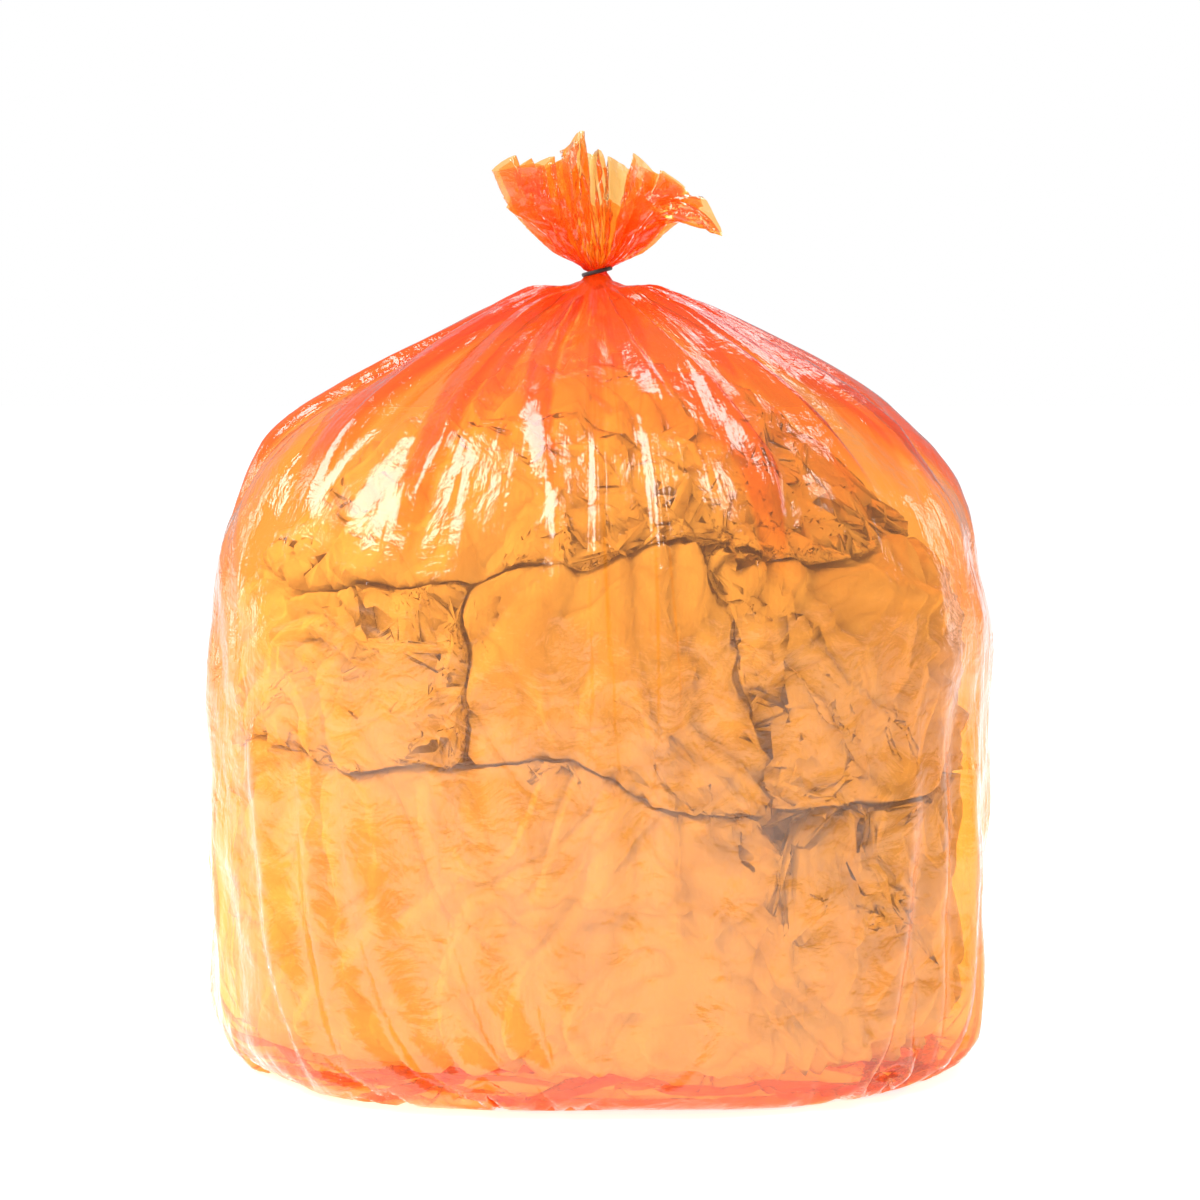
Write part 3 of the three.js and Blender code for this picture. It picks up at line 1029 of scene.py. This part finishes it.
@dataclass
class ClothWad:
    """A wad of crumpled cloth that presses against the film."""

    node: str
    room: ReachTable
    columns: int
    rows: int
    quality: Quality
    seed: int
    past: tuple[Parting, ...] = ()
    short_of: tuple[Parting, ...] = ()
    swell: float = 0.04
    clearance: float = 0.0035
    gap: float = 0.0003
    lumps: float = 0.005
    bend: float = 0.25
    dome_top: float = 0.487
    dome_drop: float = 2.5
    foot: float = 0.0025
    drawn: tuple[float, float, float] = (1.0, 1.0, 0.7)
    pattern: int = 91
    long_fold: float = 0.013
    short_fold: float = 0.009
    cross_fold: float = 0.011
    wrinkle: float = 0.0036

    def _inside(self, points: np.ndarray) -> np.ndarray:
        """Says which points lie in the wad's part of the sack.

        Args:
            points: Three planes of coordinates.

        Returns:
            True inside.
        """
        within = self.room.holds(points, self.clearance)
        within &= points[2] < self.dome_top - self.dome_drop * (points[0] ** 2 + points[1] ** 2)
        within &= points[2] > self.foot
        for face in self.past:
            within &= face.past(points) > self.gap
        for face in self.short_of:
            within &= face.past(points) < -self.gap
        return within

    def _at_film(self, points: np.ndarray) -> np.ndarray:
        """How far points take part in the film's side of the wad.

        Args:
            points: Three planes of coordinates.

        Returns:
            From 0 where wads meet to 1 at the film.
        """
        offset = points - self.room.middle[:, None, None]
        distance = np.sqrt((offset**2).sum(axis=0)) + 1e-9
        depth = self.room.look_up(offset, distance) - distance
        open_top = points[2] - self.dome_top + self.dome_drop * (points[0] ** 2 + points[1] ** 2)
        return np.maximum(1 - smooth_rise(depth, 0.02, 0.045), smooth_rise(open_top, -0.03, -0.01))

    def build(self) -> bpy.types.Object:
        """Makes the wad's object.

        Returns:
            The wad, riding on the sack's body.
        """
        low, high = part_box(self.node)
        middle = (low + high) / 2
        table = ReachTable(tuple(middle))
        table.fill(self._inside)
        surface = table.surface()
        bent = surface + 0.02 * WaveField(self.seed + 7, 0.3, 0.1).at(surface)
        dips = WaveField(self.seed, 0.26, 0.09, 12, creased=True).at(bent)
        at_film = self._at_film(surface)
        table.reach -= (self.lumps * at_film * np.clip(0.45 + 0.55 * dips, 0, 1)).astype(np.float32)
        points = self._settle(table, np.array(middle))
        made = tube_mesh(f"{self.node}_wad", points, capped=True, seam=False)
        ClothFinish().dress(made)
        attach(made, "root")
        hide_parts(self.node)
        return made

    def _settle(self, table: ReachTable, middle: np.ndarray) -> np.ndarray:
        """Swells the cloth inside its room until it buckles into folds.

        Args:
            table: The room's surface.
            middle: The wad's middle.

        Returns:
            Three planes of rows by columns.
        """
        rows, columns = self.rows // 4 + 1, self.columns // 4
        rises = np.linspace(-math.pi / 2 + 0.06, math.pi / 2 - 0.06, rows)[:, None]
        turns = np.arange(columns)[None, :] / columns * FULL_TURN
        flat = np.cos(rises)
        offset = np.stack([flat * np.cos(turns), flat * np.sin(turns), np.sin(rises) + 0 * turns])
        reach = table.look_up(offset, np.ones(offset.shape[1:]))
        points = middle[:, None, None] + offset * reach
        lengths = self._lengths(points, self.swell)
        rng = np.random.default_rng(self.seed)
        points += rng.normal(scale=0.002, size=points.shape)
        plans = [(320, 0.95, 0.0012), (160, 0.93, 0.0007), (90, 0.9, 0.0004)]
        hub = middle.astype(np.float32)[:, None, None]
        for level, (steps, keep, push) in enumerate(plans[: self.quality.value]):
            if level:
                points = TubeCloth.finer(points)
                lengths = self._lengths(points, self.swell / 6)

            def limit(now: np.ndarray, before: np.ndarray) -> None:
                """Presses the cloth outward, and keeps it in its room."""
                now += (now - hub) * np.float32(push)
                table.hold(now, -0.0008, 0.0)

            cloth = TubeCloth(points, lengths, squeeze=0.8, bend=self.bend)
            cloth.run(steps, np.float32(0), keep, limit)
            points = cloth.points
        return self._fold(points.astype(float))

    def _fold(self, points: np.ndarray) -> np.ndarray:
        """Presses folds into the cloth's outside, towards the sack's middle.

        Args:
            points: Three planes of rows by columns.

        Returns:
            The folded cloth.
        """
        drawn = points * np.array(self.drawn)[:, None, None]
        drawn = drawn + 0.02 * WaveField(self.pattern, 0.22, 0.07, 12, creased=True).at(points)
        long_folds = FoldField(self.pattern + 1, 0.6, 0.22, 5.2, edge=0.12).at(drawn)
        short_folds = FoldField(self.pattern + 2, 0.26, 0.09, 2.6, edge=0.2).at(drawn)
        cross_folds = FoldField(self.pattern + 3, 0.4, 0.16, 3.4, edge=0.3).at(points)
        wrinkles = WaveField(self.pattern + 4, 0.10, 0.03, 12, creased=True).at(points)
        share = np.clip(0.5 + 0.7 * WaveField(self.pattern + 5, 0.3, 0.14).at(points), 0, 1)
        inward = self.long_fold * (1 - long_folds) * (0.3 + 0.7 * share)
        inward = inward + self.short_fold * (1 - short_folds)
        inward = inward + self.cross_fold * (1 - cross_folds) * (1 - share) + self.wrinkle * (1 - wrinkles)
        offset = points - self.room.middle[:, None, None]
        distance = np.sqrt((offset**2).sum(axis=0)) + 1e-9
        folded = points - offset / distance * inward * self._at_film(points)
        self.room.hold(folded, -0.6, -self.clearance)
        return folded

    def _lengths(self, start: np.ndarray, swell: float) -> Lengths:
        """The cloth's natural lengths: those of a start, swelled unevenly.

        Args:
            start: Three planes of rows by columns.
            swell: How much the lengths grow on average, as a share.

        Returns:
            The lengths.
        """
        around = np.sqrt(((np.roll(start, -1, axis=2) - start) ** 2).sum(axis=0))
        along = np.sqrt((np.diff(start, axis=1) ** 2).sum(axis=0))
        ways = [WaveField(self.seed + extra, 0.3, 0.1).at(start) for extra in (1, 2, 3)]
        lean = np.clip(1.3 * ways[0], -0.9, 0.9)
        around = around * (1 + swell * (1 + lean))
        along = along * (1 + swell * (1 - lean[:-1]))
        return Lengths.from_grid(around, along, 0.4 * np.clip(ways[2][:-1], -1, 1))


class NodeGraph:
    """A short way to write a material's nodes."""

    def __init__(self, name: str) -> None:
        """Starts an empty material.

        Args:
            name: The material's name.
        """
        self.material = bpy.data.materials.new(name)
        self.material.use_nodes = True
        self.nodes = self.material.node_tree.nodes
        self.links = self.material.node_tree.links
        self.nodes.clear()

    def add(self, kind: str, inputs: dict | None = None, **settings: object) -> bpy.types.Node:
        """Adds a node.

        Args:
            kind: The node's type.
            inputs: Values or sockets for its inputs, by name or number.
            settings: Its own settings.

        Returns:
            The new node.
        """
        node = self.nodes.new(kind)
        for key, value in settings.items():
            setattr(node, key, value)
        for key, value in (inputs or {}).items():
            if isinstance(value, bpy.types.NodeSocket):
                self.links.new(value, node.inputs[key])
            else:
                node.inputs[key].default_value = value
        return node

    def math(self, kind: str, first: object, second: object = 0.0) -> bpy.types.NodeSocket:
        """Adds a sum of two values, and gives its result."""
        return self.add("ShaderNodeMath", {0: first, 1: second}, operation=kind).outputs[0]

    def finish(self, shader: bpy.types.NodeSocket, made: bpy.types.Object) -> None:
        """Ends the material with a shader, and puts it on an object."""
        self.add("ShaderNodeOutputMaterial", {"Surface": shader})
        made.data.materials.clear()
        made.data.materials.append(self.material)


@dataclass(frozen=True)
class FilmFinish:
    """Thin orange film: clear enough to see the cloth, deeper where layers lie together, and glossy."""

    tint: tuple[float, float, float] = (0.99, 0.645, 0.24)
    haze: float = 0.14
    haze_colour: tuple[float, float, float, float] = (0.98, 0.37, 0.08, 1)
    gloss: float = 0.07
    facing_gloss: float = 0.055

    def dress(self, made: bpy.types.Object) -> None:
        """Puts the finish on the film.

        Args:
            made: The film.
        """
        graph = NodeGraph("film")
        place = graph.add("ShaderNodeAttribute", attribute_name="film_place").outputs["Vector"]
        layers = graph.add("ShaderNodeAttribute", attribute_name="film_layers").outputs["Fac"]
        stretched = graph.add("ShaderNodeMapping", {"Vector": place, "Scale": (1, 1, 0.06)}).outputs[0]
        streaks = graph.add(
            "ShaderNodeTexNoise", {"Vector": stretched, "Scale": 24.0, "Detail": 5.0, "Roughness": 0.62}
        ).outputs["Fac"]
        start = graph.math("SUBTRACT", 0.66, graph.math("MULTIPLY", layers, 0.055))
        band = graph.math("MULTIPLY", graph.math("SUBTRACT", streaks, start), 9.0)
        band.node.use_clamp = True
        folded = graph.math("SUBTRACT", layers, 1.0)
        most = graph.math("MINIMUM", graph.math("MULTIPLY", folded, 1.4), 1.5)
        banded = graph.math("MULTIPLY", most, band)
        even = graph.math("MINIMUM", graph.math("MULTIPLY", folded, 0.3), 0.8)
        doubled = graph.add("ShaderNodeAttribute", attribute_name="film_doubled").outputs["Fac"]
        folded_depth = graph.math("ADD", graph.math("MULTIPLY", doubled, 1.5), 1.0)
        plain = graph.add("ShaderNodeLayerWeight", {"Blend": 0.5}).outputs["Facing"]
        slant = graph.math("MULTIPLY_ADD", graph.math("POWER", plain, 2.0), 1.0)
        slant.node.inputs[2].default_value = 1.0
        flat_depth = graph.math("ADD", graph.math("ADD", banded, even), folded_depth)
        depth = graph.math("MULTIPLY", flat_depth, slant)
        channels = [graph.math("POWER", value, depth) for value in self.tint]
        clear_colour = graph.add(
            "ShaderNodeCombineColor", {0: channels[0], 1: channels[1], 2: channels[2]}
        ).outputs[0]
        object_place = graph.add("ShaderNodeTexCoord").outputs["Object"]
        crumple = graph.add(
            "ShaderNodeTexNoise",
            {"Vector": object_place, "Scale": 38.0, "Detail": 5.0, "Roughness": 0.55, "Distortion": 0.6},
        ).outputs["Fac"]
        pulled = graph.add("ShaderNodeMapping", {"Vector": place, "Scale": (1, 1, 0.12)}).outputs[0]
        threads = graph.add(
            "ShaderNodeTexNoise", {"Vector": pulled, "Scale": 130.0, "Detail": 2.0}
        ).outputs["Fac"]
        height = graph.math("ADD", crumple, graph.math("MULTIPLY", threads, 0.25))
        normal = graph.add(
            "ShaderNodeBump", {"Height": height, "Strength": 0.55, "Distance": 0.005}
        ).outputs[0]
        clear = graph.add("ShaderNodeBsdfTransparent", {"Color": clear_colour}).outputs[0]
        milky = {"Color": self.haze_colour, "Normal": normal}
        front = graph.add("ShaderNodeBsdfDiffuse", milky).outputs[0]
        back = graph.add("ShaderNodeBsdfTranslucent", milky).outputs[0]
        haze = graph.add("ShaderNodeMixShader", {0: 0.5, 1: front, 2: back}).outputs[0]
        sheet = graph.add("ShaderNodeMixShader", {0: self.haze, 1: clear, 2: haze}).outputs[0]
        facing = graph.add("ShaderNodeLayerWeight", {"Blend": 0.5, "Normal": normal}).outputs["Facing"]
        grazing = graph.math("POWER", facing, 4.5)
        share = graph.math("MULTIPLY_ADD", grazing, 1 - self.facing_gloss)
        share.node.inputs[2].default_value = self.facing_gloss
        shine = graph.add(
            "ShaderNodeBsdfGlossy",
            {"Color": (1, 1, 1, 1), "Roughness": self.gloss, "Normal": normal},
        ).outputs[0]
        graph.finish(graph.add("ShaderNodeMixShader", {0: share, 1: sheet, 2: shine}).outputs[0], made)


@dataclass(frozen=True)
class ClothFinish:
    """Matt woven cloth, off-white, with a fine weave and faint unevenness, and painted shade darkening its
    creases.
    """

    light: tuple[float, float, float, float] = (0.95, 0.93, 0.90, 1)
    # The colour painted into the creases as shade, where the folds would be in shadow.
    painted_crease_shade: tuple[float, float, float, float] = (0.84, 0.78, 0.70, 1)

    @staticmethod
    def _crease(
        graph: NodeGraph, place: bpy.types.NodeSocket, scale: float, bent: float
    ) -> bpy.types.NodeSocket:
        """Adds creases along the middle level of a noise.

        Args:
            graph: The material's graph.
            place: Where the noise is read.
            scale: The noise's scale.
            bent: How distorted it is.

        Returns:
            A value that is 0 in the creases. It shapes the bumps and sets where the painted crease shade
            falls.
        """
        noise = graph.add(
            "ShaderNodeTexNoise",
            {"Vector": place, "Scale": scale, "Detail": 2.5, "Roughness": 0.45, "Distortion": bent},
        ).outputs["Fac"]
        return graph.math("ABSOLUTE", graph.math("SUBTRACT", noise, 0.5))

    def dress(self, made: bpy.types.Object) -> None:
        """Puts the finish on a wad.

        Args:
            made: The wad.
        """
        graph = NodeGraph("cloth")
        place = graph.add("ShaderNodeTexCoord").outputs["Object"]
        leaning = graph.add("ShaderNodeMapping", {"Vector": place, "Rotation": (0.3, 0.5, 0.2)}).outputs[0]
        drawn = graph.add("ShaderNodeMapping", {"Vector": leaning, "Scale": (1.5, 1.2, 0.8)}).outputs[0]
        folds = self._crease(graph, drawn, 6.0, 1.1)
        pleats = self._crease(graph, leaning, 13.0, 0.7)
        # Painted shade: the colour runs from the light colour on open cloth to the painted crease shade in
        # the creases of the folds and pleats.
        clear = graph.math("MULTIPLY", graph.math("MINIMUM", folds, pleats), 22.0)
        clear.node.use_clamp = True
        colour = graph.add(
            "ShaderNodeMix", {0: clear, 6: self.painted_crease_shade, 7: self.light}, data_type="RGBA"
        ).outputs[2]
        weave = graph.add(
            "ShaderNodeTexWave", {"Vector": place, "Scale": 420.0, "Distortion": 1.5, "Detail": 1.0}
        ).outputs["Fac"]
        creases = graph.add(
            "ShaderNodeTexNoise", {"Vector": place, "Scale": 70.0, "Detail": 4.0, "Distortion": 0.8}
        ).outputs["Fac"]
        fine = graph.math("MULTIPLY", graph.math("ADD", creases, graph.math("MULTIPLY", weave, 0.12)), 0.06)
        broad = graph.math("ADD", folds, graph.math("MULTIPLY", pleats, 0.5))
        height = graph.math("ADD", broad, fine)
        normal = graph.add(
            "ShaderNodeBump", {"Height": height, "Strength": 1.0, "Distance": 0.05}
        ).outputs[0]
        shader = graph.add(
            "ShaderNodeBsdfPrincipled",
            {"Base Color": colour, "Roughness": 0.92, "Sheen Weight": 0.15, "Normal": normal},
        ).outputs[0]
        graph.finish(shader, made)


@dataclass(frozen=True)
class BandFinish:
    """Satin black rubber."""

    colour: tuple[float, float, float, float] = (0.018, 0.013, 0.012, 1)

    def dress(self, made: bpy.types.Object) -> None:
        """Puts the finish on the tie.

        Args:
            made: The tie.
        """
        graph = NodeGraph("band")
        place = graph.add("ShaderNodeTexCoord").outputs["Object"]
        grain = graph.add(
            "ShaderNodeTexNoise", {"Vector": place, "Scale": 900.0, "Detail": 3.0}
        ).outputs["Fac"]
        rough = graph.math("MULTIPLY_ADD", grain, 0.3)
        rough.node.inputs[2].default_value = 0.25
        normal = graph.add(
            "ShaderNodeBump", {"Height": grain, "Strength": 0.3, "Distance": 0.0004}
        ).outputs[0]
        shader = graph.add(
            "ShaderNodeBsdfPrincipled", {"Base Color": self.colour, "Roughness": rough, "Normal": normal}
        ).outputs[0]
        graph.finish(shader, made)


@dataclass
class Studio:
    """A plain white studio: the floor, the lights, the white surroundings and the camera."""

    camera_distance: float = 1.95
    camera_rise: float = math.radians(6)
    looked_at: tuple[float, float, float] = (0.002, 0.0, 0.3085)

    def build(self) -> None:
        """Sets the whole studio up."""
        self._floor()
        self._surroundings()
        self._light("key", (-0.95, -0.6, 1.6), (1.25, 1.1), 46)
        self._light("window", (0.7, -0.8, 1.6), (0.3, 0.6), 6)
        self._light("back", (0.3, 1.2, 1.9), (1.4, 0.6), 12)
        self._light("left_wall", (-1.8, 0.7, 0.8), (0.35, 1.2), 6)
        self._light("right_wall", (1.8, 0.6, 0.8), (0.35, 1.2), 5)
        self._camera()

    def _camera(self) -> None:
        """Places the camera at the photograph's angle."""
        lens = bpy.data.cameras.new("camera")
        lens.lens, lens.sensor_width = 85, 36
        eye = bpy.data.objects.new("camera", lens)
        bpy.context.scene.collection.objects.link(eye)
        target = Vector(self.looked_at)
        away = Vector((0, -math.cos(self.camera_rise), math.sin(self.camera_rise)))
        eye.location = target + self.camera_distance * away
        eye.rotation_euler = (-away).to_track_quat("-Z", "Y").to_euler()
        bpy.context.scene.camera = eye

    def _light(self, name: str, place: tuple, size: tuple, power: float) -> None:
        """Adds one softbox that faces the sack.

        Args:
            name: Its name.
            place: Where it hangs, in metres.
            size: Its two sides, in metres.
            power: Its power, in watts.
        """
        lamp = bpy.data.lights.new(name, "AREA")
        lamp.shape = "RECTANGLE"
        lamp.size, lamp.size_y = size
        lamp.energy = power
        made = bpy.data.objects.new(name, lamp)
        bpy.context.scene.collection.objects.link(made)
        made.location = place
        made.rotation_euler = (Vector((0, 0, 0.3)) - Vector(place)).to_track_quat("-Z", "Y").to_euler()

    def _floor(self) -> None:
        """Adds a wide pale floor."""
        mesh = bpy.data.meshes.new("floor")
        far = 12.0
        corners = [(-far, -far, 0), (far, -far, 0), (far, far, 0), (-far, far, 0)]
        mesh.from_pydata(corners, [], [(0, 1, 2, 3)])
        floor = bpy.data.objects.new("floor", mesh)
        bpy.context.scene.collection.objects.link(floor)
        graph = NodeGraph("floor")
        place = graph.add("ShaderNodeTexCoord").outputs["Object"]
        grain = graph.add("ShaderNodeTexNoise", {"Vector": place, "Scale": 3.0}).outputs["Fac"]
        pale = graph.add(
            "ShaderNodeMix", {0: grain, 6: (0.90, 0.90, 0.90, 1), 7: (0.93, 0.93, 0.93, 1)}, data_type="RGBA"
        ).outputs[2]
        matt = graph.add("ShaderNodeBsdfDiffuse", {"Color": pale}).outputs[0]
        glow = graph.add("ShaderNodeEmission", {"Color": (1, 1, 1, 1), "Strength": 0.72}).outputs[0]
        graph.finish(graph.add("ShaderNodeAddShader", {0: matt, 1: glow}).outputs[0], floor)

    def _surroundings(self) -> None:
        """Makes the surroundings white to the eye, and softer as a light."""
        scene = bpy.context.scene
        world = bpy.data.worlds.new("studio")
        scene.world = world
        world.use_nodes = True
        nodes, links = world.node_tree.nodes, world.node_tree.links
        nodes.clear()
        seen, lit = nodes.new("ShaderNodeBackground"), nodes.new("ShaderNodeBackground")
        seen.inputs["Color"].default_value, seen.inputs["Strength"].default_value = (1, 1, 1, 1), 1.0
        lit.inputs["Color"].default_value, lit.inputs["Strength"].default_value = (0.95, 0.97, 1, 1), 0.48
        mix, path = nodes.new("ShaderNodeMixShader"), nodes.new("ShaderNodeLightPath")
        out = nodes.new("ShaderNodeOutputWorld")
        links.new(path.outputs["Is Camera Ray"], mix.inputs[0])
        links.new(lit.outputs[0], mix.inputs[1])
        links.new(seen.outputs[0], mix.inputs[2])
        links.new(mix.outputs[0], out.inputs["Surface"])
        scene.view_settings.view_transform = "Standard"
        scene.cycles.transparent_max_bounces = 48
        scene.cycles.max_bounces = 14
        scene.cycles.diffuse_bounces = 6
        scene.cycles.transmission_bounces = 10


def main() -> None:
    """Builds the studio, the cloth, the film and the tie."""
    logging.basicConfig(level=logging.INFO, format="%(relativeCreated)6d ms  %(message)s")
    quality = Quality.FULL
    sizes = SackSizes.from_frame()
    room = film_room(sizes)
    Studio().build()
    wads = [
        ClothWad("cloth_lower", room, 512, 176, quality, 21, short_of=(LOWER,)),
        ClothWad("cloth_left", room, 384, 128, quality, 31, past=(LOWER,), short_of=(UPPER, LEFT)),
        ClothWad("cloth_middle", room, 384, 128, quality, 41, past=(LOWER, LEFT), short_of=(UPPER, RIGHT)),
        ClothWad("cloth_right", room, 384, 128, quality, 51, past=(LOWER, RIGHT), short_of=(UPPER,)),
        ClothWad("cloth_upper", room, 448, 144, quality, 61, past=(UPPER,)),
    ]
    for wad in wads:
        made = wad.build()
        LOG.info("%s: %d faces", made.name, len(made.data.polygons))
    film = FilmSack(sizes, room, quality).build()
    LOG.info("%s: %d faces", film.name, len(film.data.polygons))
    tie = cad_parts["neck_tie"]
    tie.data.shade_smooth()
    BandFinish().dress(tie)
    LOG.info("%s: %d faces", tie.name, len(tie.data.polygons))


if __name__ == "__main__":
    main()
